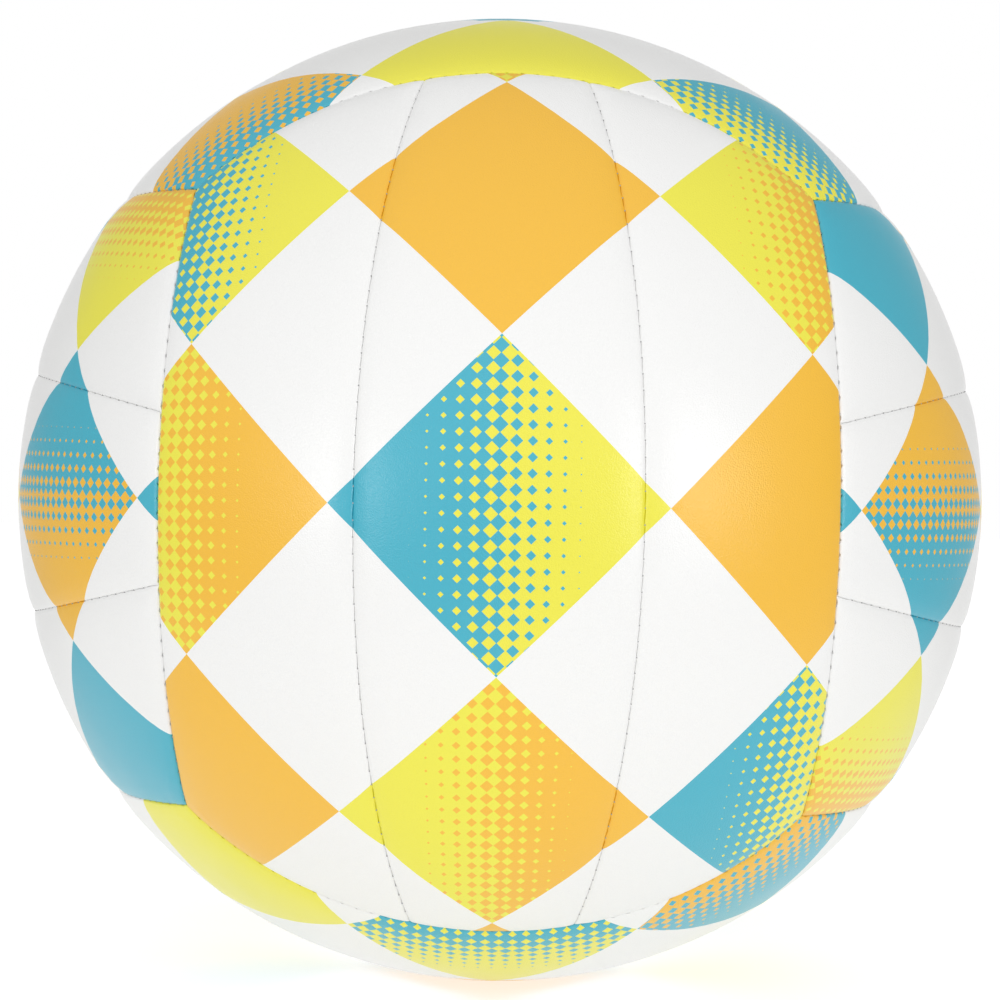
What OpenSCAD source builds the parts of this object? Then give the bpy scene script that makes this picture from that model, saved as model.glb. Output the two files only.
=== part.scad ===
// Machine-stitched ball of eighteen panels, laid out as six faces of three strips.
// Each panel is a laminate of skin, foam and woven lining, sewn edge to edge over a rubber bladder.
// The origin is the ball's centre, +Z is up, and the inflation valve faces +Y.

/* [Ball] */
// Outer diameter of the inflated ball
ball_d = 213; // [206:1:220]

/* [Cover] */
// Width of a face of three strips, along the surface at its middle
face_w = 138; // [132:1:146]
// Width of a middle strip, along the surface at its middle
middle_strip_w = 53; // [46:1:60]
// Thickness of the synthetic leather skin
skin_t = 0.8; // [0.6:0.1:1.1]
// Thickness of the foam behind the skin
foam_t = 1.8; // [1.4:0.1:2.4]
// Thickness of the woven lining behind the foam
lining_t = 0.4; // [0.3:0.1:0.8]
// Film of adhesive between the layers
glue_t = 0.05; // [0.02:0.01:0.1]

/* [Seams] */
// Radius to which the skin turns down beside a seam
edge_r = 2.2; // [2:0.1:3]
// Gap between the two turned edges of a seam
seam_gap = 0.1; // [0.05:0.05:0.3]
// Diameter of the machine thread
thread_d = 0.7; // [0.5:0.1:0.9]
// Diameter of the hand thread that closes the last seam
closing_thread_d = 1; // [0.8:0.1:1.1]
// Length of the seam that is closed by hand
closing_l = 70; // [50:5:90]
// Distance of a thread's end from the seam that crosses it
thread_end = 1.1; // [0.9:0.1:2]
// How far the cuts of a long seam lean apart at their lower side
seam_taper = 0.3; // [0.2:0.1:0.6]
// Rise of a round edge's circle over the panel's crown, which leaves a faint crease
edge_lift = 0.06; // [0.04:0.01:0.1]

/* [Bladder] */
// Wall of the blown-up bladder
bladder_t = 0.5; // [0.4:0.1:1]
// Space between lining and bladder
bladder_gap = 0.1; // [0.05:0.05:0.3]

/* [Valve] */
// Hole through the cover for the valve
valve_hole_d = 7; // [6.8:0.1:9]
// Neck of the valve body, in that hole
valve_neck_d = 6.4; // [6:0.1:6.6]
// How far the neck's face lies under the ball's surface
valve_recess = 0.7; // [0.4:0.1:1.2]
// Bevel round the neck's face
valve_bevel = 0.4; // [0.2:0.1:0.6]
// Flange that is bonded to the inside of the bladder
valve_flange_d = 26; // [20:1:34]
// Thickness of that flange
valve_flange_t = 1.2; // [0.8:0.1:2]
// Stem that reaches into the bladder
valve_stem_d = 10; // [9:0.5:12]
// Length of the stem below the flange
valve_stem_l = 11; // [9:0.5:14]
// Plug in the valve body
plug_d = 4; // [3.6:0.1:4.4]
// Collar that keeps the plug in the stem
plug_collar_d = 6.4; // [5.6:0.1:7]
// Height of that collar
plug_collar_h = 2.4; // [1.6:0.1:3]
// Needle guide down the plug
needle_bore_d = 2.2; // [2.1:0.1:2.6]
// Length of the needle guide, with its mouth
needle_bore_l = 9; // [7:0.5:10]
// Mouth of the needle guide
needle_mouth_d = 3; // [2.8:0.1:3.4]
// Width of the slit below the guide, which closes itself
slit_w = 2; // [1.6:0.1:2.1]
// Opening of that slit
slit_t = 0.1; // [0.05:0.05:0.2]
// Rubberised ring that keeps the lining from tearing round the valve
patch_d = 24; // [18:1:32]

/* [Hidden] */
$fn = 96;
// A small round edge needs fewer sides than the ball.
edge_sides = 32;

// Cuts run past what they cut by this much.
overrun = 1;
// Room round a thread, and round each bonded piece of the valve.
fit_clearance = 0.03;

// Radii of the layers, from the outside in.
ball_r = ball_d / 2;
foam_r = ball_r - skin_t - glue_t;
foam_in_r = foam_r - foam_t;
lining_r = foam_in_r - glue_t;
cover_in_r = lining_r - lining_t;
bladder_r = cover_in_r - bladder_gap;
bladder_in_r = bladder_r - bladder_t;

// Heights of the valve's faces, from the ball's centre.
neck_top = ball_r - valve_recess;
flange_top = bladder_in_r - glue_t;
flange_low = flange_top - valve_flange_t;
stem_low = flange_low - valve_stem_l;
bore_low = neck_top - needle_bore_l;

// Three faces meet at each end of the cube's diagonals, where the three coordinates are alike.
corner_share = 1 / sqrt(3);
radian = 180 / PI;
face_angle = face_w / ball_d * radian;
strip_angle = middle_strip_w / ball_d * radian;

// Every seam is cut nearly square to the surface, along a cone whose tip is the ball's centre.
// A face's long seams lie on the cones through its side's middle and both its corners.
side_lean = atan2(sin(face_angle) - corner_share, cos(face_angle) - corner_share);
side_cone = acos(corner_share * (cos(side_lean) - sin(side_lean)));
// The seams between strips are great circles, and their cone is opened out flat.
strip_cone = 90;

// Where a seam lies on the front face, as turns about Y from its right-hand side.
RIGHT = 0;
LEFT = 180;
UPPER = -90;
LOWER = 90;

// Where a seam ends, as an angle round its cone's axis from its middle.
side_end = asin(corner_share / sin(side_cone));
strip_share = norm([cos(strip_angle) * cos(side_lean), sin(side_lean)]);
strip_turn = atan2(sin(side_lean), cos(strip_angle) * cos(side_lean));
strip_end = acos(cos(side_cone) / strip_share) - strip_turn;
// Half of the hand-closed length, as such an angle.
closing_end = closing_l / ball_d * radian;

// A seam's cut reaches this deep and this wide, as shares of the ball's radius, and sweeps past its ends.
cut_low_share = 0.86;
cut_reach_share = 0.45;
cut_sweep = 75;
// An edge curls on under the panel until it is tucked in by this share of its radius.
tuck_share = 0.45;
// A panel is cut from a block that is this much larger on each side.
block_margin = 8;

// Each face is the front one, turned by half a turn about Z and then about the cube's diagonal.
FACES = ["front", "back", "bottom", "top", "left", "right"];
HALF_TURNS = [0, 180, 0, 180, 0, 180];
DIAGONAL_TURNS = [0, 0, 120, 120, 240, 240];
// What the strip on the face's -1 side and the one on its +1 side are called.
SIDE_NAMES = [
    ["left", "right"],
    ["right", "left"],
    ["front", "back"],
    ["back", "front"],
    ["lower", "upper"],
    ["upper", "lower"]
];
FACE_COUNT = len(FACES);
STRIPS = [-1, 0, 1];
// The valve is in the middle of the back face, and that face also has the seam that is closed last.
BACK = 1;
CLOSING = RIGHT;

function strip_name(face, strip) = strip == 0 ? "middle" : SIDE_NAMES[face][(strip + 1) / 2];
function panel_node(layer, face, strip) = str(layer, "_", FACES[face], "_", strip_name(face, strip));
function face_node(layer, face) = str(layer, "_", FACES[face]);

module place(face) {
    rotate(a = DIAGONAL_TURNS[face], v = [1, 1, 1])
        rotate([0, 0, HALF_TURNS[face]])
            children();
}

module at_valve() {
    rotate([-90, 0, 0]) children();
}

// Turns a cone's axis from Z to its place, for a seam whose middle lies mid degrees round from -Y.
// past is 1 where the axis lies past the seam, and -1 where it lies before it.
module at_seam(where, mid, cone, past) {
    rotate([0, where, 0])
        rotate([0, 0, mid + past * cone])
            rotate([90, 0, 0])
                rotate([0, 0, past > 0 ? 180 : 0])
                    children();
}

// A point beside a seam, in the plane of its cone's axis, where turn is 1 on the cone's outer side.
function beside_seam(cone, turn, across, along) = [
    along * sin(cone) + turn * across * cos(cone),
    along * cos(cone) - turn * across * sin(cone)
];

function edge_along(layer_r, round_r, across) =
    sqrt(pow(layer_r - round_r, 2) - pow(across, 2)) + edge_lift;

// Takes away what lies past a seam, for a layer that lies depth under the panel's surface.
// The layer keeps its distance from the seam, and its upper edge is round.
module cut_seam(where, mid, cone, past, turn, depth) {
    round_r = edge_r - depth;
    inset = seam_gap / 2 + depth;
    across = inset + round_r;
    along = edge_along(ball_r - depth, round_r, across);
    low = cut_low_share * ball_r;
    out = ball_r + overrun;
    reach = cut_reach_share * ball_r;
    wall = inset + tuck_share * round_r;
    taper = cone == strip_cone ? 0 : seam_taper;
    difference() {
        children();
        at_seam(where, mid, cone, past)
            rotate([0, 0, -cut_sweep])
                rotate_extrude(angle = 2 * cut_sweep)
                    difference() {
                        polygon([
                            beside_seam(cone, turn, -reach, low),
                            beside_seam(cone, turn, wall + taper, low),
                            beside_seam(cone, turn, wall, along),
                            beside_seam(cone, turn, across, along),
                            beside_seam(cone, turn, across * out / along, out),
                            beside_seam(cone, turn, -reach, out)
                        ]);
                        translate(beside_seam(cone, turn, across, along))
                            circle(round_r, $fn = edge_sides);
                    }
    }
}

// The long seams of the faces above and below cross the strips' ends.
module cut_ends(depth) {
    cut_seam(UPPER, 90 - face_angle, side_cone, -1, -1, depth)
        cut_seam(LOWER, 90 - face_angle, side_cone, -1, -1, depth)
            children();
}

// A piece of the ball's shell, between two heights across the face.
module block(low_x, high_x, outer_r, inner_r) {
    half_h = ball_r * cos(face_angle) + block_margin / 2;
    near_y = ball_r * corner_share - block_margin;
    intersection() {
        difference() {
            sphere(outer_r);
            sphere(inner_r);
        }
        translate([low_x - block_margin, -ball_r - overrun, -half_h])
            cube([high_x - low_x + 2 * block_margin, ball_r + overrun - near_y, 2 * half_h]);
    }
}

// One layer of a strip of the front face, from its outer to its inner radius.
// The strips at the sides are alike, half a turn round from each other.
module layer(strip, depth, outer_r, inner_r) {
    strip_x = ball_r * sin(strip_angle);
    if (strip == 0)
        cut_ends(depth)
            cut_seam(RIGHT, strip_angle, strip_cone, 1, 1, depth)
                cut_seam(LEFT, strip_angle, strip_cone, 1, 1, depth)
                    block(-strip_x, strip_x, outer_r, inner_r);
    else
        rotate([0, strip < 0 ? LEFT : RIGHT, 0])
            cut_ends(depth)
                cut_seam(RIGHT, face_angle, side_cone, 1, 1, depth)
                    cut_seam(RIGHT, strip_angle, strip_cone, -1, 1, depth)
                        block(strip_x, ball_r * sin(face_angle), outer_r, inner_r);
}

module valve_hole(d) {
    at_valve() cylinder(h = ball_r + overrun, d = d);
}

// The skin's four edges turn down past foam and lining, so that seam lies inside the ball.
module skin(face, strip) {
    color("whitesmoke")
        difference() {
            place(face)
                difference() {
                    layer(strip, 0, ball_r, cover_in_r);
                    layer(strip, skin_t, ball_r - skin_t, cover_in_r - overrun);
                }
            if (face == BACK && strip == 0) valve_hole(valve_hole_d);
        }
}

module foam(face, strip) {
    color("moccasin")
        difference() {
            place(face)
                difference() {
                    layer(strip, skin_t + glue_t, foam_r, cover_in_r - overrun);
                    sphere(foam_in_r);
                }
            if (face == BACK && strip == 0) valve_hole(valve_hole_d);
        }
}

module lining(face) {
    color("lightsteelblue")
        difference() {
            place(face)
                for (strip = STRIPS)
                    layer(strip, skin_t + glue_t, lining_r, cover_in_r);
            if (face == BACK) valve_hole(patch_d + 2 * fit_clearance);
        }
}

// A thread lies in the valley of its seam, on the round edges of both panels.
// It runs from one angle round the cone's axis to another.
module seam_thread(where, mid, cone, d, from_angle, to_angle) {
    across = edge_r + seam_gap / 2;
    valley = edge_along(ball_r, edge_r, across);
    along = valley + sqrt(pow(edge_r + d / 2 + fit_clearance, 2) - pow(across, 2));
    at_seam(where, mid, cone, 1)
        rotate([0, 0, from_angle])
            rotate_extrude(angle = to_angle - from_angle)
                translate(beside_seam(cone, 1, 0, along))
                    circle(d = d, $fn = edge_sides);
}

module strip_thread(face) {
    end = strip_end - thread_end / ball_r * radian;
    color("darkslategray")
        place(face)
            for (where = [LEFT, RIGHT])
                if (face == BACK && where == CLOSING) {
                    seam_thread(where, strip_angle, strip_cone, thread_d, -end, -closing_end);
                    seam_thread(where, strip_angle, strip_cone, thread_d, closing_end, end);
                } else
                    seam_thread(where, strip_angle, strip_cone, thread_d, -end, end);
}

module edge_thread(face) {
    end = side_end - thread_end / (ball_r * sin(side_cone)) * radian;
    color("darkslategray")
        place(face)
            for (where = [LEFT, RIGHT])
                seam_thread(where, face_angle, side_cone, thread_d, -end, end);
}

module closing_thread() {
    end = closing_end - fit_clearance / ball_r * radian;
    color("black")
        place(BACK)
            seam_thread(CLOSING, strip_angle, strip_cone, closing_thread_d, -end, end);
}

module bladder() {
    color("dimgray")
        difference() {
            sphere(bladder_r);
            sphere(bladder_in_r);
            valve_hole(valve_neck_d + 2 * fit_clearance);
        }
}

// Neck, flange and stem are one moulding, and the plug sits in it with its collar at the inner end.
module valve_body() {
    socket_d = plug_d + 2 * fit_clearance;
    seat_d = plug_collar_d + 2 * fit_clearance;
    color("black")
        difference() {
            union() {
                at_valve()
                    rotate_extrude()
                        polygon([
                            [0, stem_low],
                            [valve_stem_d / 2, stem_low],
                            [valve_stem_d / 2, flange_low],
                            [valve_neck_d / 2, flange_low],
                            [valve_neck_d / 2, neck_top - valve_bevel],
                            [valve_neck_d / 2 - valve_bevel, neck_top],
                            [0, neck_top]
                        ]);
                difference() {
                    intersection() {
                        sphere(flange_top);
                        at_valve() cylinder(h = ball_r, d = valve_flange_d);
                    }
                    sphere(flange_low);
                }
            }
            at_valve()
                rotate_extrude()
                    polygon([
                        [0, stem_low - overrun],
                        [seat_d / 2, stem_low - overrun],
                        [seat_d / 2, stem_low + plug_collar_h + fit_clearance],
                        [socket_d / 2, stem_low + plug_collar_h + fit_clearance],
                        [socket_d / 2, neck_top + overrun],
                        [0, neck_top + overrun]
                    ]);
        }
}

module valve_plug() {
    mouth_h = (needle_mouth_d - needle_bore_d) / 2;
    color("gray")
        at_valve()
            difference() {
                union() {
                    translate([0, 0, stem_low]) cylinder(h = plug_collar_h, d = plug_collar_d);
                    translate([0, 0, stem_low]) cylinder(h = neck_top - stem_low, d = plug_d);
                }
                translate([0, 0, bore_low]) cylinder(h = needle_bore_l + overrun, d = needle_bore_d);
                translate([0, 0, neck_top - mouth_h])
                    cylinder(h = mouth_h, d1 = needle_bore_d, d2 = needle_mouth_d);
                translate([-slit_w / 2, -slit_t / 2, stem_low - overrun])
                    cube([slit_w, slit_t, bore_low - stem_low + 2 * overrun]);
            }
}

module valve_patch() {
    color("saddlebrown")
        difference() {
            intersection() {
                sphere(lining_r);
                at_valve() cylinder(h = ball_r, d = patch_d);
            }
            sphere(cover_in_r);
            valve_hole(valve_hole_d);
        }
}

for (face = [0:FACE_COUNT - 1]) {
    for (strip = STRIPS) {
        skin(face, strip);
        foam(face, strip);
    }
    lining(face);
    strip_thread(face);
    edge_thread(face);
}
closing_thread();
bladder();
valve_body();
valve_plug();
valve_patch();
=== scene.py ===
import math

import bpy
import numpy as np
from mathutils import Matrix, Vector, noise


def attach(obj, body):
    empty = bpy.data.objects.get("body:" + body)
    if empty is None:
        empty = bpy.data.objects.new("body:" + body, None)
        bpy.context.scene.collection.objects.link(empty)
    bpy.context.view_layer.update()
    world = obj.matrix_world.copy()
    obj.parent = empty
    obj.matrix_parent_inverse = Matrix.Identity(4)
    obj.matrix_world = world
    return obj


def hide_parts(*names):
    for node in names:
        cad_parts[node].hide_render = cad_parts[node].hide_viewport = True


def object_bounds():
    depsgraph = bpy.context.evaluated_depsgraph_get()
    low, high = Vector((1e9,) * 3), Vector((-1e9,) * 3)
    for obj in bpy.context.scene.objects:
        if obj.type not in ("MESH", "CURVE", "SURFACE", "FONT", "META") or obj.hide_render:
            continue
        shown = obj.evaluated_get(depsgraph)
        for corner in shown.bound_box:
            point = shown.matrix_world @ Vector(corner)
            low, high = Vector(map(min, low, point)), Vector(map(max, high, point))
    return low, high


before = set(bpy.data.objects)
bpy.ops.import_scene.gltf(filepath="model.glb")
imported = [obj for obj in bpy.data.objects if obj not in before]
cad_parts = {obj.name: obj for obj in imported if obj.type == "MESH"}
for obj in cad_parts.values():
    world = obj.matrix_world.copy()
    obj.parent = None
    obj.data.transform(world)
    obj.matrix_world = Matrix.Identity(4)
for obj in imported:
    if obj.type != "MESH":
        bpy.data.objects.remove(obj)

cad_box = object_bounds()
ball_r = cad_box[1].z


# Bladder
# The bladder is a balloon of black butyl rubber, moulded in one piece, that holds the air.
# It is dusted with talc before it goes into the cover, so that it doesn't stick to the lining.

def new_group(name, inputs, outputs):
    tree = bpy.data.node_groups.new(name, "ShaderNodeTree")
    for label, kind, value in inputs:
        socket = tree.interface.new_socket(label, in_out="INPUT", socket_type="NodeSocket" + kind)
        if value is not None:
            socket.default_value = value
    for label, kind in outputs:
        tree.interface.new_socket(label, in_out="OUTPUT", socket_type="NodeSocket" + kind)
    return tree, tree.nodes.new("NodeGroupInput").outputs, tree.nodes.new("NodeGroupOutput").inputs


def place_node(tree, kind, joined, **settings):
    node = tree.nodes.new("ShaderNode" + kind)
    for name, value in settings.items():
        setattr(node, name, value)
    for name, value in joined.items():
        if isinstance(value, bpy.types.NodeSocket):
            tree.links.new(value, node.inputs[name])
        else:
            node.inputs[name].default_value = value
    return node


def calculate(tree, operation, *values):
    return place_node(tree, "Math", dict(enumerate(values)), operation=operation).outputs[0]


def calculate_vector(tree, operation, *values, **named):
    joined = dict(enumerate(values)) | named
    return place_node(tree, "VectorMath", joined, operation=operation).outputs[0]


def blend_colours(tree, share, first, second):
    joined = {0: share, 6: first, 7: second}
    return place_node(tree, "Mix", joined, data_type="RGBA").outputs[2]


def grain_group():
    # Pebbles of one size, and wide soft patches, both read from where a point lies on the ball.
    tree, given, result = new_group(
        "pebbles and patches",
        [("Place", "Vector", None), ("Pebble Size", "Float", 0.001), ("Patch Size", "Float", 0.02)],
        [("Pebbles", "Float"), ("Patches", "Float")],
    )
    pebble_scale = calculate(tree, "DIVIDE", 1.0, given["Pebble Size"])
    patch_scale = calculate(tree, "DIVIDE", 1.0, given["Patch Size"])
    wander = place_node(tree, "TexNoise", {"Vector": given["Place"], "Scale": pebble_scale, "Detail": 1.0})
    joined = {"Vector": given["Place"], "Scale": pebble_scale, "Smoothness": 0.6}
    cells = place_node(tree, "TexVoronoi", joined, feature="SMOOTH_F1")
    pebbles = calculate(tree, "SUBTRACT", wander.outputs[0], cells.outputs["Distance"])
    tree.links.new(calculate(tree, "ADD", pebbles, 0.5), result["Pebbles"])
    joined = {"Vector": given["Place"], "Scale": patch_scale, "Detail": 3.0}
    tree.links.new(place_node(tree, "TexNoise", joined).outputs[0], result["Patches"])
    return tree


def grained_material(name, colour, dust, pebble_size, patch_size, roughness, relief):
    # A plain-coloured stuff with a grain, lighter in its patches, as rubber is where talc clings to it.
    patch_edges = (0.35, 0.75)
    rough_spread = 0.08
    material = bpy.data.materials.new(name)
    material.use_nodes = True
    tree = material.node_tree
    shader = tree.nodes["Principled BSDF"]
    place = tree.nodes.new("ShaderNodeTexCoord").outputs["Object"]
    joined = {"Place": place, "Pebble Size": pebble_size, "Patch Size": patch_size}
    grain = place_node(tree, "Group", joined, node_tree=grain_tree).outputs
    joined = {0: grain["Patches"], 1: patch_edges[0], 2: patch_edges[1]}
    patches = place_node(tree, "MapRange", joined).outputs[0]
    tree.links.new(blend_colours(tree, patches, colour, dust), shader.inputs["Base Color"])
    joined = {0: grain["Patches"], 3: roughness - rough_spread, 4: roughness + rough_spread}
    tree.links.new(place_node(tree, "MapRange", joined).outputs[0], shader.inputs["Roughness"])
    joined = {"Height": grain["Pebbles"], "Strength": grain_strength, "Distance": relief}
    tree.links.new(place_node(tree, "Bump", joined).outputs[0], shader.inputs["Normal"])
    return material


def cover_node(node, material):
    # The piece from CAD keeps its mesh and gets this material.
    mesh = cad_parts[node].data
    mesh.materials.clear()
    mesh.materials.append(material)


grain_tree = grain_group()
grain_strength = 0.7
butyl = grained_material(
    "butyl rubber", colour=(0.018, 0.018, 0.02, 1), dust=(0.09, 0.09, 0.09, 1),
    pebble_size=0.0009, patch_size=0.03, roughness=0.62, relief=0.00005,
)
cover_node("bladder", butyl)


# Valve
# The valve is a soft black rubber moulding, bonded into the bladder, with a grey plug pressed into it.
# Its neck ends just under the surface, in a round hole in the middle panel of the back face.

valve_rubber = grained_material(
    "valve rubber", colour=(0.012, 0.012, 0.013, 1), dust=(0.035, 0.035, 0.035, 1),
    pebble_size=0.0004, patch_size=0.004, roughness=0.5, relief=0.00002,
)
plug_rubber = grained_material(
    "plug rubber", colour=(0.09, 0.09, 0.095, 1), dust=(0.14, 0.14, 0.14, 1),
    pebble_size=0.0004, patch_size=0.003, roughness=0.55, relief=0.00002,
)
cover_node("valve_body", valve_rubber)
cover_node("valve_plug", plug_rubber)


# Lining
# Each face is backed with a plain-woven cotton and polyester cloth, laminated to the foam in three strips.
# A rubberised ring of the same cloth strengthens it round the valve.

def woven_material(name, colour, painted_gap_shade, yarn, roughness):
    # The yarns cross on every face, because each pair of the three directions makes a weave.
    weave_reach = 1.5
    weave_strength = 0.8
    relief = yarn / 4
    material = bpy.data.materials.new(name)
    material.use_nodes = True
    tree = material.node_tree
    shader = tree.nodes["Principled BSDF"]
    place = tree.nodes.new("ShaderNodeTexCoord").outputs["Object"]
    turns = calculate_vector(tree, "SCALE", place, Scale=math.pi / yarn)
    waves = calculate_vector(tree, "SINE", turns)
    parts = place_node(tree, "SeparateXYZ", {0: waves}).outputs
    crossing = [
        calculate(tree, "MULTIPLY", parts[first], parts[second])
        for first, second in ((0, 1), (1, 2), (2, 0))
    ]
    weave = calculate(tree, "ADD", calculate(tree, "ADD", crossing[0], crossing[1]), crossing[2])
    height = place_node(tree, "MapRange", {0: weave, 1: -weave_reach, 2: weave_reach}).outputs[0]
    # Painted shade: the cloth's colour darkens towards the gaps between its yarns, where the weave is lowest.
    tree.links.new(blend_colours(tree, height, painted_gap_shade, colour), shader.inputs["Base Color"])
    shader.inputs["Roughness"].default_value = roughness
    joined = {"Height": height, "Strength": weave_strength, "Distance": relief}
    tree.links.new(place_node(tree, "Bump", joined).outputs[0], shader.inputs["Normal"])
    return material


# The darker second colours are painted shade in the gaps between the yarns.
lining_cloth = woven_material(
    "lining cloth", colour=(0.62, 0.64, 0.66, 1), painted_gap_shade=(0.3, 0.31, 0.33, 1), yarn=0.0005, roughness=0.85
)
patch_cloth = woven_material(
    "patch cloth", colour=(0.3, 0.19, 0.1, 1), painted_gap_shade=(0.14, 0.08, 0.04, 1), yarn=0.0006, roughness=0.7
)
for face in ("front", "back", "bottom", "top", "left", "right"):
    cover_node("lining_" + face, lining_cloth)
cover_node("valve_patch", patch_cloth)


# Cover panels
# The cover is eighteen panels of white synthetic leather, three strips to each of six faces. The leather is
# printed and cut out flat, and its edges are sewn together from the inside, so that they roll under at the
# seams. Each strip is shaped here as such a flat piece, and is then bent to its place on the ball.

skin_thick = 0.0008
face_wide = 0.138
strip_wide = 0.053
stitch_pitch = 0.00305
# A strip is a grid of cells: so many along it, and so many across a middle strip (0) or a side strip (-1, 1).
cells_long = 50
strip_cells = {-1: 14, 0: 17, 1: 14}
# The cells along the edges are this wide, and are divided into fine steps that crowd towards the seam. The
# first step climbs the turned-in wall from its foot, which lies this deep, to the throat of the slit, and the
# second climbs the slit.
edge_wide = 0.0031
wall_foot = 0.0031
edge_cuts = 9
edge_steps = edge_cuts + 1
foot_within = 0.5 / edge_steps
throat_within = 1.5 / edge_steps
wall_steps = 2
edge_crowding = 2.3
# A panel sinks to its seams in a wide soft shoulder, then in a small tight fold, with a pit at each stitch.
shoulder_sink = 0.0006
shoulder_reach = 0.006
fold_sink = 0.0003
fold_reach = 0.0006
fold_held_share = 0.65
pit_sink = 0.00015
pit_reach = 0.0008
# Half the slit at a seam: shut at each stitch and gaping between. The edges meet again in its throat, a
# little way down. Between two strips the slit also slants from stitch to stitch.
slit_shut = 0.000008
strip_gape = 0.00008
slit_slant = 0.00024
throat_sink = 0.00016
# Between two faces it gapes less, and each stitch has pulled the needle's hole open.
edge_gape = 0.00006
needle_hole = 0.00027
pinch_power = 6
# Behind, a panel's edges are bevelled down to the foot of the wall. At its corners the two slopes blend.
inner_sink = 0.0012
corner_blend = 2.5
# The crown of a panel isn't quite even, and its edges are gathered a little by the stitching.
swell_high = 0.00003
swell_counts = (9, 19)
gather_high = 0.00006
gather_count = 42
# The hole for the valve is cut in the middle of a block of finely divided cells, and has a rolled lip.
hole_r = 0.0035
hole_block = 5
hole_cuts = 5
hole_share = 0.54
hole_crowding = 1.3
lip_sink = 0.00035
lip_power = 6
# Edges sharper than this stay crisp.
crease_angle = math.radians(55)

# Three faces meet where the ball's three coordinates are alike, and every long seam runs to such a corner.
corner = 1 / math.sqrt(3)
corner_rise = math.asin(corner)
face_angle = face_wide / ball_r / 2
strip_angle = strip_wide / ball_r / 2
side_lean = math.atan2(math.sin(face_angle) - corner, math.cos(face_angle) - corner)
side_cone = math.acos(corner * (math.cos(side_lean) - math.sin(side_lean)))

# Each face is the front one, turned by these angles about Z and then about the cube's diagonal.
face_turns = {
    "front": (0, 0), "back": (180, 0), "bottom": (0, 120),
    "top": (180, 120), "left": (0, 240), "right": (180, 240),
}
# What each face's strips -1 and 1 are called.
side_names = {
    "front": ("left", "right"), "back": ("right", "left"), "bottom": ("front", "back"),
    "top": ("back", "front"), "left": ("lower", "upper"), "right": ("upper", "lower"),
}


def face_matrix(face):
    half, diagonal = (math.radians(turn) for turn in face_turns[face])
    return Matrix.Rotation(diagonal, 3, Vector((1, 1, 1))) @ Matrix.Rotation(half, 3, "Z")


def strip_name(face, strip):
    return "middle" if strip == 0 else side_names[face][(strip + 1) // 2]


def end_rise(turn):
    # How far up the strips' upper ends lie, at a longitude on the face.
    ahead = np.cos(turn) * math.cos(side_lean)
    aside = math.sin(side_lean)
    return np.arccos(math.cos(side_cone) / np.hypot(ahead, aside)) - np.arctan2(aside, ahead)


def side_turn(rise):
    # How far round the face's long seam lies, at a height on the face.
    return side_lean + np.arcsin(math.cos(side_cone) / np.cos(rise))


def spot(strip, across, along):
    # The longitude and elevation of a spot given as shares of the panel's width and length.
    if strip == 0:
        turn = (2 * across - 1) * strip_angle
        return turn, (2 * along - 1) * end_rise(turn)
    rise = (2 * along - 1) * end_rise(strip_angle + across * (math.pi / 4 - strip_angle))
    turn = strip_angle + across * (side_turn((2 * along - 1) * corner_rise) - strip_angle)
    return turn, rise


def pinch(run):
    # 1 where a stitch draws a seam together, and 0 between two stitches.
    return (0.5 + 0.5 * np.cos(run / stitch_pitch * math.tau)) ** pinch_power


def edge_place(step, run, lean, inner):
    # Distance from the seam, from the edge (step 0) to the end of the finely divided cells (step 1). The slit
    # leans to the panel (1) or away from it (-1) between two strips, and neither (0) between two faces.
    if inner:
        near = skin_thick
    else:
        slant = (run / stitch_pitch) % 1 - 0.5
        gape = np.where(step < throat_within, 0, strip_gape if lean else edge_gape)
        near = slit_shut + (gape + lean * slit_slant * slant) * (1 - pinch(run))
        if not lean:
            near += needle_hole * pinch(run)
    share = np.clip((step * edge_steps - wall_steps) / (edge_steps - wall_steps), 0, 1)
    return near + (edge_wide - near) * share ** edge_crowding


def edge_depth(distance, step, run, inner):
    # How far below the ball's surface a point of the outer or the inner side lies, near one seam.
    if inner:
        depth = skin_thick + inner_sink * np.clip(1 - distance / edge_wide, 0, 1) ** 2
    else:
        depth = shoulder_sink * np.clip(1 - distance / shoulder_reach, 0, 1) ** 2
        fold = fold_sink * (1 - fold_held_share * pinch(run))
        depth += fold * np.clip(1 - distance / fold_reach, 0, 1) ** 2
        depth += pit_sink * pinch(run) * np.clip(1 - distance / pit_reach, 0, 1) ** 2
        depth += np.where(step < throat_within, throat_sink, 0)
    return np.where(step < foot_within, wall_foot, depth)


def from_both_edges(steps, cells, width, low_run, high_run, leans, inner):
    # Share of the width and depth, where steps are counted in cells from the panel's low edge.
    low = edge_place(np.clip(steps, 0, 1), low_run, leans[0], inner)
    high = width - edge_place(np.clip(cells - steps, 0, 1), high_run, leans[1], inner)
    flat = (steps - 1) / (cells - 2) * (width - 2 * edge_wide) + edge_wide
    place = np.where(steps < 1, low, np.where(steps > cells - 1, high, flat))
    low_depth = edge_depth(place, steps, low_run, inner)
    high_depth = edge_depth(width - place, cells - steps, high_run, inner)
    return place / width, np.maximum(low_depth, high_depth)


def seam_runs(strip, across, along):
    # Distances along the four seams from their middles: low side, high side, and the two ends.
    turn, rise = spot(strip, 0 * along, along)
    low = ball_r * rise
    cone_r = ball_r * math.sin(side_cone)
    side_rise = (2 * along - 1) * corner_rise
    high = low if strip == 0 else cone_r * np.arcsin(np.sin(side_rise) / math.sin(side_cone))
    turn, rise = spot(strip, across, 0 * across + 1)
    ends = cone_r * np.arcsin(np.sin(turn) * np.cos(rise) / math.sin(side_cone))
    return low, high, ends


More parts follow.
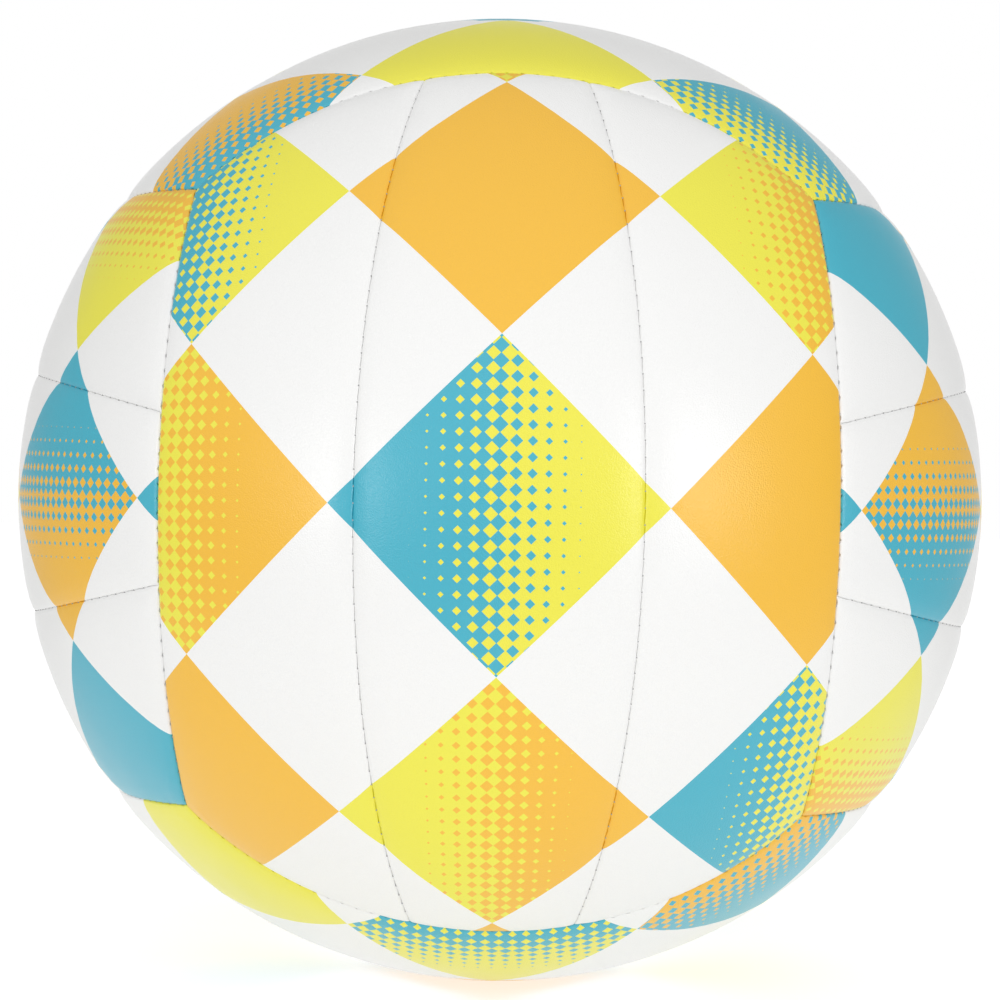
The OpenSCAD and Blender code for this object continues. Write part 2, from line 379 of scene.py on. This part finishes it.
def round_hole(steps_across, steps_along, cells, inner):
    # The block of cells round the valve is drawn to a round hole with a rolled lip.
    half = hole_block / 2
    east = (steps_across - cells / 2) / half
    north = (steps_along - cells_long / 2) / half
    square = np.maximum(np.maximum(np.abs(east), np.abs(north)), 1e-9)
    length = np.maximum(np.hypot(east, north), 1e-9)
    ring = np.clip((square - hole_share) / (1 - hole_share), 0, 1)
    share = ring ** hole_crowding
    half_across = half * strip_wide / cells
    half_along = half * 2 * ball_r * float(end_rise(0)) / cells_long
    rim = hole_r / length
    new_east = (1 - share) * rim * east / half_across + share * east / square
    new_north = (1 - share) * rim * north / half_along + share * north / square
    # Points on the edge of the block stay where they are.
    here = square < 0.9999
    steps_across = np.where(here, cells / 2 + new_east * half, steps_across)
    steps_along = np.where(here, cells_long / 2 + new_north * half, steps_along)
    lip = 0 if inner else lip_sink * (1 - ring) ** lip_power
    return steps_across, steps_along, np.where(here, lip, 0)


def flat_blank(cells, with_hole):
    # A flat strip, one unit thick, before it is bent. The outermost cells all round it are cut up finely.
    bpy.ops.object.select_all(action="DESELECT")
    bpy.ops.mesh.primitive_grid_add(x_subdivisions=cells, y_subdivisions=cells_long, size=2)
    blank = bpy.context.object
    bpy.ops.object.mode_set(mode="EDIT")
    bpy.ops.mesh.select_mode(type="FACE")
    bpy.ops.mesh.select_all(action="DESELECT")
    bpy.ops.object.mode_set(mode="OBJECT")
    for polygon in blank.data.polygons:
        centre = polygon.center
        at_side = abs(centre.x) > 1 - 1.5 / cells
        at_end = abs(centre.y) > 1 - 1.5 / cells_long
        polygon.select = at_side or at_end
    bpy.ops.object.mode_set(mode="EDIT")
    bpy.ops.mesh.subdivide(number_cuts=edge_cuts)
    if with_hole:
        cut_hole(blank, cells)
    bpy.ops.object.mode_set(mode="OBJECT")
    thickness = blank.modifiers.new("thickness", "SOLIDIFY")
    thickness.thickness = 1
    thickness.offset = -1
    bpy.ops.object.modifier_apply(modifier=thickness.name)
    return blank


def cut_hole(blank, cells):
    # The block round the valve is cut up finely, and its middle cells go.
    def pick(half_block):
        bpy.ops.mesh.select_all(action="DESELECT")
        bpy.ops.object.mode_set(mode="OBJECT")
        for polygon in blank.data.polygons:
            centre = polygon.center
            near = abs(centre.x) * cells < half_block and abs(centre.y) * cells_long < half_block
            polygon.select = near
        bpy.ops.object.mode_set(mode="EDIT")

    pick(hole_block)
    bpy.ops.mesh.subdivide(number_cuts=hole_cuts)
    pick(hole_block * hole_share)
    bpy.ops.mesh.delete(type="FACE")


def unevenness(ways, count):
    # A smooth random height, about zero, with so many bumps to the ball's radius.
    return np.array([noise.noise(Vector(way) * count) for way in ways])


def bend_panel(blank, face, strip):
    # A copy of the flat strip is bent to its place on the ball, and keeps where it lay when it was printed.
    cells = strip_cells[strip]
    bpy.ops.object.select_all(action="DESELECT")
    panel = blank.copy()
    panel.data = blank.data.copy()
    panel.name = f"panel_{face}_{strip_name(face, strip)}"
    bpy.context.scene.collection.objects.link(panel)
    count = len(panel.data.vertices)
    flat = np.empty(count * 3)
    panel.data.vertices.foreach_get("co", flat)
    flat = flat.reshape(-1, 3)
    final = np.empty((count, 3))
    face_place = np.empty((count, 2))
    for inner in (False, True):
        # Where the outer or the inner side's points lie, counted in cells of the flat strip.
        rows = (flat[:, 2] < -0.5) == inner
        steps_across = (flat[rows, 0] + 1) / 2 * cells
        steps_along = (flat[rows, 1] + 1) / 2 * cells_long
        dent = np.zeros(rows.sum())
        if face == "back" and strip == 0:
            steps_across, steps_along, dent = round_hole(steps_across, steps_along, cells, inner)
        # How far along the seams they lie, and how wide and long the strip is there.
        across = steps_across / cells
        along = steps_along / cells_long
        low, high, ends = seam_runs(strip, across, along)
        low_turn, rise = spot(strip, 0 * along, along)
        high_turn, high_rise = spot(strip, 0 * along + 1, along)
        width = ball_r * (high_turn - low_turn) * np.cos((rise + high_rise) / 2)
        turn, rise = spot(strip, across, 0 * across + 1)
        length = ball_r * 2 * rise
        # Where they come to lie on the face, and how deep.
        leans = (1, -1 if strip == 0 else 0)
        across, side_depth = from_both_edges(steps_across, cells, width, low, high, leans, inner)
        along, end_depth = from_both_edges(steps_along, cells_long, length, ends, ends, (0, 0), inner)
        turn, rise = spot(strip, across, along)
        base = skin_thick * inner
        blended = (side_depth - base) ** corner_blend + (end_depth - base) ** corner_blend
        sunk = blended ** (1 / corner_blend)
        depth = np.minimum(base + sunk, wall_foot) + dent
        ways = np.stack([np.sin(turn) * np.cos(rise), -np.cos(turn) * np.cos(rise), np.sin(rise)], axis=1)
        if strip < 0:
            ways[:, [0, 2]] *= -1
        # The print keeps its distances from the middle of the face, as on flat leather.
        away = np.arccos(np.clip(-ways[:, 1], -1, 1))
        stretch = ball_r * away / np.maximum(np.sin(away), 1e-9)
        face_place[rows] = ways[:, [0, 2]] * stretch[:, None]
        ways = ways @ np.array(face_matrix(face).transposed())
        if not inner:
            swell = unevenness(ways, swell_counts[0]) + unevenness(ways, swell_counts[1])
            gather = unevenness(ways, gather_count)
            shoulder = np.clip(sunk / shoulder_sink, 0, 1)
            fade = np.clip(2 - sunk / shoulder_sink, 0, 1)
            depth += fade * (swell_high * np.clip(1 + swell, 0, 2) + gather_high * shoulder * (1 + gather))
        final[rows] = ways * (ball_r - depth)[:, None]
    panel.data.vertices.foreach_set("co", final.astype(np.float32).ravel())
    corners = np.empty(len(panel.data.loops), np.int32)
    panel.data.loops.foreach_get("vertex_index", corners)
    print_map = panel.data.uv_layers[0]
    print_map.name = "print"
    print_map.data.foreach_set("uv", face_place[corners].astype(np.float32).ravel())
    panel.data.update()
    bpy.context.view_layer.objects.active = panel
    panel.select_set(True)
    bpy.ops.object.shade_smooth_by_angle(angle=crease_angle)
    return panel


def harlequin_group():
    # Diamonds set corner to corner, some plain and some fading into a second colour by small lozenges.
    tree, given, result = new_group(
        "harlequin print",
        [
            ("Place", "Vector", None), ("Diamond", "Float", 0.044), ("Lozenge", "Float", 0.0029),
            ("Ground", "Color", None), ("First", "Color", None), ("Second", "Color", None),
            ("Third", "Color", None),
        ],
        [("Color", "Color")],
    )
    fade_steepness = 0.95

    def diamonds(place):
        joined = {"Vector": place, "Angle": math.pi / 4}
        turned = place_node(tree, "VectorRotate", joined, rotation_type="Z_AXIS").outputs[0]
        size = calculate(tree, "DIVIDE", 1.0, given["Diamond"])
        scaled = calculate_vector(tree, "SCALE", turned, Scale=size)
        return place_node(tree, "SeparateXYZ", {0: scaled}).outputs

    here = diamonds(given["Place"])
    column = calculate(tree, "ROUND", here[0])
    row = calculate(tree, "ROUND", here[1])
    bare = calculate(tree, "FLOORED_MODULO", calculate(tree, "ADD", column, row), 2.0)
    half_gap = calculate(tree, "MULTIPLY", calculate(tree, "SUBTRACT", column, row), 0.5)
    kind = calculate(tree, "FLOORED_MODULO", calculate(tree, "ADD", column, half_gap), 3.0)
    pitch = calculate(tree, "DIVIDE", 1.0, given["Lozenge"])
    counted = calculate_vector(tree, "SCALE", given["Place"], Scale=pitch)
    centre = calculate_vector(tree, "ADD", calculate_vector(tree, "FLOOR", counted), (0.5, 0.5, 0.0))
    nearest = calculate_vector(tree, "FLOOR", calculate_vector(tree, "ADD", counted, (0.5, 0.5, 0.0)))
    offset = calculate_vector(tree, "ABSOLUTE", calculate_vector(tree, "SUBTRACT", counted, centre))
    offset = place_node(tree, "SeparateXYZ", {0: offset}).outputs
    spread = calculate(tree, "ADD", offset[0], offset[1])

    def fade_at(spot_counted):
        # From 0 at the diamond's left or lower corner to 1 at its right or upper one, 0.5 in the middle.
        there = diamonds(calculate_vector(tree, "SCALE", spot_counted, Scale=given["Lozenge"]))
        fade = calculate(tree, "ADD", there[0], there[1])
        fade = calculate(tree, "SUBTRACT", fade, calculate(tree, "ADD", column, row))
        return calculate(tree, "MULTIPLY_ADD", fade, fade_steepness, 0.5)

    # Lozenges grow to touch each other, and then what is left between them shrinks.
    growing = calculate(tree, "MINIMUM", fade_at(centre), 0.5)
    left_over = fade_at(nearest)
    past_half = calculate(tree, "GREATER_THAN", left_over, 0.5)
    size = calculate(tree, "MAXIMUM", growing, calculate(tree, "MULTIPLY", left_over, past_half))
    inside = calculate(tree, "LESS_THAN", spread, size)
    first_fade = blend_colours(tree, inside, given["First"], given["Second"])
    second_fade = blend_colours(tree, inside, given["Second"], given["Third"])
    is_third = calculate(tree, "COMPARE", kind, 1.0, 0.1)
    is_second = calculate(tree, "COMPARE", kind, 2.0, 0.1)
    inked = blend_colours(tree, is_third, first_fade, given["Third"])
    inked = blend_colours(tree, is_second, inked, second_fade)
    tree.links.new(blend_colours(tree, bare, inked, given["Ground"]), result["Color"])
    return tree


def leather_material(name, inks):
    # White leather with a fine grain, painted shade that darkens its valleys a little, and the print in three
    # inks.
    white = (0.87, 0.87, 0.862, 1)
    pebble_size = 0.00028
    patch_size = 0.012
    relief = 0.000042
    painted_valley_shade = 0.985
    smoothest = 0.26
    roughest = 0.36
    shine = 0.75
    material = bpy.data.materials.new(name)
    material.use_nodes = True
    tree = material.node_tree
    shader = tree.nodes["Principled BSDF"]
    flat_place = place_node(tree, "UVMap", {}, uv_map="print").outputs[0]
    joined = {"Place": flat_place, "Ground": white, "First": inks[0], "Second": inks[1], "Third": inks[2]}
    printed = place_node(tree, "Group", joined, node_tree=harlequin_tree).outputs[0]
    place = tree.nodes.new("ShaderNodeTexCoord").outputs["Object"]
    joined = {"Place": place, "Pebble Size": pebble_size, "Patch Size": patch_size}
    grain = place_node(tree, "Group", joined, node_tree=grain_tree).outputs
    # Painted shade: the base colour is darkened a little in the grain's valleys.
    joined = {0: grain["Pebbles"], 1: 0.2, 2: 0.6, 3: painted_valley_shade, 4: 1.0}
    valleys = place_node(tree, "MapRange", joined).outputs[0]
    joined = {0: 1.0, 6: printed, 7: valleys}
    shaded = place_node(tree, "Mix", joined, data_type="RGBA", blend_type="MULTIPLY")
    tree.links.new(shaded.outputs[2], shader.inputs["Base Color"])
    joined = {0: grain["Patches"], 3: smoothest, 4: roughest}
    tree.links.new(place_node(tree, "MapRange", joined).outputs[0], shader.inputs["Roughness"])
    shader.inputs["Specular IOR Level"].default_value = shine
    joined = {"Height": grain["Pebbles"], "Strength": grain_strength, "Distance": relief}
    tree.links.new(place_node(tree, "Bump", joined).outputs[0], shader.inputs["Normal"])
    return material


harlequin_tree = harlequin_group()
teal = (0.045, 0.42, 0.55, 1)
yellow = (0.83, 0.78, 0.055, 1)
orange = (0.88, 0.49, 0.03, 1)
leathers = {
    "front": leather_material("leather of the front and back", (teal, yellow, orange)),
    "left": leather_material("leather of the sides", (yellow, orange, teal)),
    "top": leather_material("leather of the top and bottom", (orange, teal, yellow)),
}
leathers["back"] = leathers["front"]
leathers["right"] = leathers["left"]
leathers["bottom"] = leathers["top"]

blanks = {
    "middle": flat_blank(strip_cells[0], False),
    "valve": flat_blank(strip_cells[0], True),
    "side": flat_blank(strip_cells[1], False),
}
for face in face_turns:
    for strip in strip_cells:
        blank = blanks["side"]
        if strip == 0:
            blank = blanks["valve" if face == "back" else "middle"]
        panel = bend_panel(blank, face, strip)
        panel.data.materials.clear()
        panel.data.materials.append(leathers[face])
        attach(panel, "root")
        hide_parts(f"skin_{face}_{strip_name(face, strip)}")
for blank in blanks.values():
    bpy.data.objects.remove(blank)


# Foam
# Behind each panel's skin lies its own pad of closed-cell foam, cut to the panel's shape and bonded to it.
# It makes the ball soft to the hand.

foam_material = grained_material(
    "closed-cell foam", colour=(0.72, 0.6, 0.42, 1), dust=(0.8, 0.7, 0.52, 1),
    pebble_size=0.0007, patch_size=0.01, roughness=0.9, relief=0.00012,
)
for face in face_turns:
    for strip in strip_cells:
        cover_node(f"foam_{face}_{strip_name(face, strip)}", foam_material)


# Seam stitches
# The panels are machine-sewn from the inside with grey bonded polyester thread. From outside, only a short
# bead of thread shows at each stitch, deep in the seam, where it draws the two edges together.

# Half the length, width and height of a bead, and how far down its middle lies.
bead_half = {"strip": (0.00015, 0.00017, 0.00012), "edge": (0.0003, 0.00024, 0.00018)}
bead_depth = {"strip": 0.00086, "edge": 0.00104}
# The rows stop this far from where two seams meet.
thread_stop = 0.0016


def stitch_row(mid, cone, low, high, pitch, bead, depth):
    # A row of beads, laid out straight and then bent along a seam of the front face, which is a circle round
    # an axis at the longitude mid + cone. Low and high are where it begins and ends.
    first = math.ceil(low / pitch)
    count = math.floor(high / pitch) - first + 1
    bpy.ops.object.select_all(action="DESELECT")
    bpy.ops.mesh.primitive_uv_sphere_add(segments=10, ring_count=6, radius=1)
    row = bpy.context.object
    bpy.ops.transform.resize(value=bead)
    bpy.ops.object.transform_apply(location=False, rotation=False, scale=True)
    repeat = row.modifiers.new("row", "ARRAY")
    repeat.count = count
    repeat.use_relative_offset = False
    repeat.use_constant_offset = True
    repeat.constant_offset_displace = (pitch, 0, 0)
    bpy.ops.object.modifier_apply(modifier=repeat.name)
    flat = np.empty(len(row.data.vertices) * 3)
    row.data.vertices.foreach_get("co", flat)
    run, aside, rise = flat.reshape(-1, 3).T
    turn = (run + first * pitch) / (ball_r * math.sin(cone))
    lean = cone + aside / ball_r
    axis = Vector((math.sin(mid + cone), -math.cos(mid + cone), 0))
    inward = Vector((math.sin(mid + cone - math.pi / 2), -math.cos(mid + cone - math.pi / 2), 0))
    ways = np.cos(lean)[:, None] * np.array(axis)
    ways += (np.sin(lean) * np.cos(turn))[:, None] * np.array(inward)
    ways[:, 2] += np.sin(lean) * np.sin(turn)
    final = ways * (ball_r - depth + rise)[:, None]
    row.data.vertices.foreach_set("co", final.astype(np.float32).ravel())
    return row


def thread_material(name, colour, dark):
    # Light and dark fibres, so many to the metre, which also stand up a little.
    fibre_count = 6000.0
    fibre_relief = 0.00004
    material = bpy.data.materials.new(name)
    material.use_nodes = True
    tree = material.node_tree
    shader = tree.nodes["Principled BSDF"]
    place = tree.nodes.new("ShaderNodeTexCoord").outputs["Object"]
    joined = {"Vector": place, "Scale": fibre_count, "Detail": 2.0}
    fibre = place_node(tree, "TexNoise", joined).outputs[0]
    tree.links.new(blend_colours(tree, fibre, dark, colour), shader.inputs["Base Color"])
    shader.inputs["Roughness"].default_value = 0.6
    joined = {"Height": fibre, "Strength": 0.6, "Distance": fibre_relief}
    tree.links.new(place_node(tree, "Bump", joined).outputs[0], shader.inputs["Normal"])
    return material


# Half the lengths of the two kinds of row.
strip_rise = float(end_rise(strip_angle))
side_end = math.asin(corner / math.sin(side_cone))
strip_run = ball_r * strip_rise - thread_stop
side_run = ball_r * math.sin(side_cone) * side_end - thread_stop
# The hand-sewn part of a strip seam at the back, where the cover was turned and closed, has wider stitches.
closing_run = 0.035
closing_bead = (0.00028, 0.0005, 0.00026)
closing_pitch = 0.005
closing_depth = 0.0006
thread = thread_material("seam thread", colour=(0.5, 0.5, 0.5, 1), dark=(0.3, 0.3, 0.3, 1))


def finish_thread(rows, name, face, node):
    # A face's rows of one kind are joined into one piece, and moved from the front face to their own.
    bpy.ops.object.select_all(action="DESELECT")
    for row in rows:
        row.select_set(True)
    bpy.context.view_layer.objects.active = rows[0]
    if len(rows) > 1:
        bpy.ops.object.join()
    piece = bpy.context.object
    piece.name = name
    piece.data.transform(face_matrix(face).to_4x4())
    bpy.ops.object.shade_smooth()
    piece.data.materials.append(thread)
    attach(piece, "root")
    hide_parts(node)


def both_sides(rows):
    # The face's other long side is the same, half a turn round from it.
    turned = []
    for row in rows:
        other = row.copy()
        other.data = row.data.copy()
        other.data.transform(Matrix.Rotation(math.pi, 4, "Y"))
        bpy.context.scene.collection.objects.link(other)
        turned.append(other)
    return turned


for face in face_turns:
    bead, depth = bead_half["strip"], bead_depth["strip"]
    whole = stitch_row(strip_angle, math.pi / 2, -strip_run, strip_run, stitch_pitch, bead, depth)
    rows = both_sides([whole])
    if face == "back":
        bpy.data.objects.remove(whole)
        gap = closing_run + stitch_pitch / 2
        for low, high in ((-strip_run, -gap), (gap, strip_run)):
            rows.append(stitch_row(strip_angle, math.pi / 2, low, high, stitch_pitch, bead, depth))
    else:
        rows.append(whole)
    finish_thread(rows, "strip_stitches_" + face, face, "strip_thread_" + face)
    bead, depth = bead_half["edge"], bead_depth["edge"]
    whole = stitch_row(face_angle, side_cone, -side_run, side_run, stitch_pitch, bead, depth)
    finish_thread([whole] + both_sides([whole]), "edge_stitches_" + face, face, "edge_thread_" + face)

closing = stitch_row(
    strip_angle, math.pi / 2, -closing_run, closing_run, closing_pitch, closing_bead, closing_depth
)
finish_thread([closing], "closing_stitches", "back", "closing_thread")


# Floor, light and camera
# The ball lies on a white floor in a white room, with a soft lamp on each side of the camera. The floor and
# the room look whiter to the camera than the light that they give.

floor_size = 8
floor_grey = (0.5, 0.5, 0.5, 1)
# The floor glows softly from below, and looks whiter still to the camera.
floor_glow = 0.5
floor_glow_seen = 0.67
# What shines shows the white floor where it is near the ball or straight behind it, and darker elsewhere.
near_all = 0.15
near_to = 0.45
behind_from = 0.8
behind_all = 0.95
bpy.ops.object.select_all(action="DESELECT")
bpy.ops.mesh.primitive_plane_add(size=floor_size, location=(0, 0, -ball_r))
floor = bpy.context.object
floor.name = "floor"
bpy.ops.object.transform_apply(location=True)

paper = bpy.data.materials.new("white floor")
paper.use_nodes = True
tree = paper.node_tree
paper_shader = tree.nodes["Principled BSDF"]
paper_shader.inputs["Base Color"].default_value = floor_grey
paper_shader.inputs["Roughness"].default_value = 0.9
ray = tree.nodes.new("ShaderNodeLightPath").outputs
away = tree.nodes.new("ShaderNodeTexCoord").outputs["Object"]
away = place_node(tree, "VectorMath", {0: away}, operation="LENGTH").outputs["Value"]
near = place_node(tree, "MapRange", {0: away, 1: near_all, 2: near_to, 3: 1.0, 4: 0.0}).outputs[0]
back_along = tree.nodes.new("ShaderNodeNewGeometry").outputs["Incoming"]
behind = place_node(tree, "SeparateXYZ", {0: back_along}).outputs[1]
behind = place_node(tree, "MapRange", {0: behind, 1: -behind_from, 2: -behind_all}).outputs[0]
seen = calculate(tree, "MULTIPLY", ray["Is Glossy Ray"], calculate(tree, "MAXIMUM", near, behind))
seen = calculate(tree, "MAXIMUM", seen, ray["Is Camera Ray"])
seen = calculate(tree, "MAXIMUM", seen, ray["Is Transmission Ray"])
plain_glow = place_node(tree, "MapRange", {0: ray["Is Glossy Ray"], 3: floor_glow, 4: 0.0}).outputs[0]
strength = place_node(tree, "MapRange", {0: seen, 3: plain_glow, 4: floor_glow_seen}).outputs[0]
glow = place_node(tree, "Emission", {"Color": (1, 1, 1, 1), "Strength": strength})
lit = place_node(tree, "AddShader", {0: paper_shader.outputs[0], 1: glow.outputs[0]})
tree.links.new(lit.outputs[0], tree.nodes["Material Output"].inputs["Surface"])
floor.data.materials.append(paper)

# The room is brightest above and behind the camera. Its sides look darker in what shines.
brightest_way = (-0.15, -0.84, 0.52)
front_level = 1.0
side_level = 0.7
side_level_shine = 0.3
world = bpy.data.worlds.new("white room")
bpy.context.scene.world = world
world.use_nodes = True
tree = world.node_tree
sky = tree.nodes["Background"]
way = tree.nodes.new("ShaderNodeTexCoord").outputs["Generated"]
ray = tree.nodes.new("ShaderNodeLightPath").outputs
ahead = place_node(tree, "VectorMath", {0: way, 1: brightest_way}, operation="DOT_PRODUCT").outputs["Value"]
joined = {0: ray["Is Glossy Ray"], 3: side_level, 4: side_level_shine}
sides = place_node(tree, "MapRange", joined).outputs[0]
level = place_node(tree, "MapRange", {0: ahead, 3: sides, 4: front_level}).outputs[0]
tree.links.new(level, sky.inputs["Strength"])
white_back = place_node(tree, "Background", {"Color": (1, 1, 1, 1), "Strength": 1.0})
sky.inputs["Color"].default_value = (1, 1, 1, 1)
# Behind the ball, what shines shows the white background, and elsewhere the room.
behind = place_node(tree, "SeparateXYZ", {0: way}).outputs[1]
behind = place_node(tree, "MapRange", {0: behind, 1: behind_from, 2: behind_all}).outputs[0]
seen = calculate(tree, "MULTIPLY", ray["Is Glossy Ray"], behind)
seen = calculate(tree, "MAXIMUM", seen, ray["Is Camera Ray"])
seen = calculate(tree, "MAXIMUM", seen, ray["Is Transmission Ray"])
mixed = place_node(tree, "MixShader", {0: seen, 1: sky.outputs[0], 2: white_back.outputs[0]})
tree.links.new(mixed.outputs[0], tree.nodes["World Output"].inputs["Surface"])


def soft_lamp(name, azimuth, elevation, distance, width, height, power):
    # Azimuth is counted from the camera's side, to the right.
    turn, rise = math.radians(azimuth), math.radians(elevation)
    place = Vector((math.sin(turn) * math.cos(rise), -math.cos(turn) * math.cos(rise), math.sin(rise)))
    data = bpy.data.lights.new(name, "AREA")
    data.shape = "RECTANGLE"
    data.size = width
    data.size_y = height
    data.energy = power
    lamp = bpy.data.objects.new(name, data)
    lamp.location = place * distance
    lamp.rotation_euler = place.to_track_quat("Z", "Y").to_euler()
    bpy.context.scene.collection.objects.link(lamp)


soft_lamp("right lamp", azimuth=42, elevation=3, distance=1.2, width=0.25, height=0.5, power=2.1)
soft_lamp("left lamp", azimuth=-34, elevation=0, distance=1.2, width=0.22, height=0.5, power=1.6)

# The camera looks level at the ball, which is turned a little from square. It stands this many radii away.
view_turns = {"Z": -0.09, "X": 0.56, "Y": 1.0}
radii_away = 4.456
view_turn = Matrix.Identity(4)
for axis, degrees in view_turns.items():
    view_turn = view_turn @ Matrix.Rotation(math.radians(degrees), 4, axis)
back_off = Matrix.Translation((0, -radii_away * ball_r, 0)) @ Matrix.Rotation(math.pi / 2, 4, "X")
camera_data = bpy.data.cameras.new("camera")
camera_data.lens = 75.3
camera_data.clip_start = 0.01
camera = bpy.data.objects.new("camera", camera_data)
camera.matrix_world = view_turn.inverted() @ back_off
bpy.context.scene.collection.objects.link(camera)
bpy.context.scene.camera = camera
bpy.context.scene.view_settings.view_transform = "Standard"
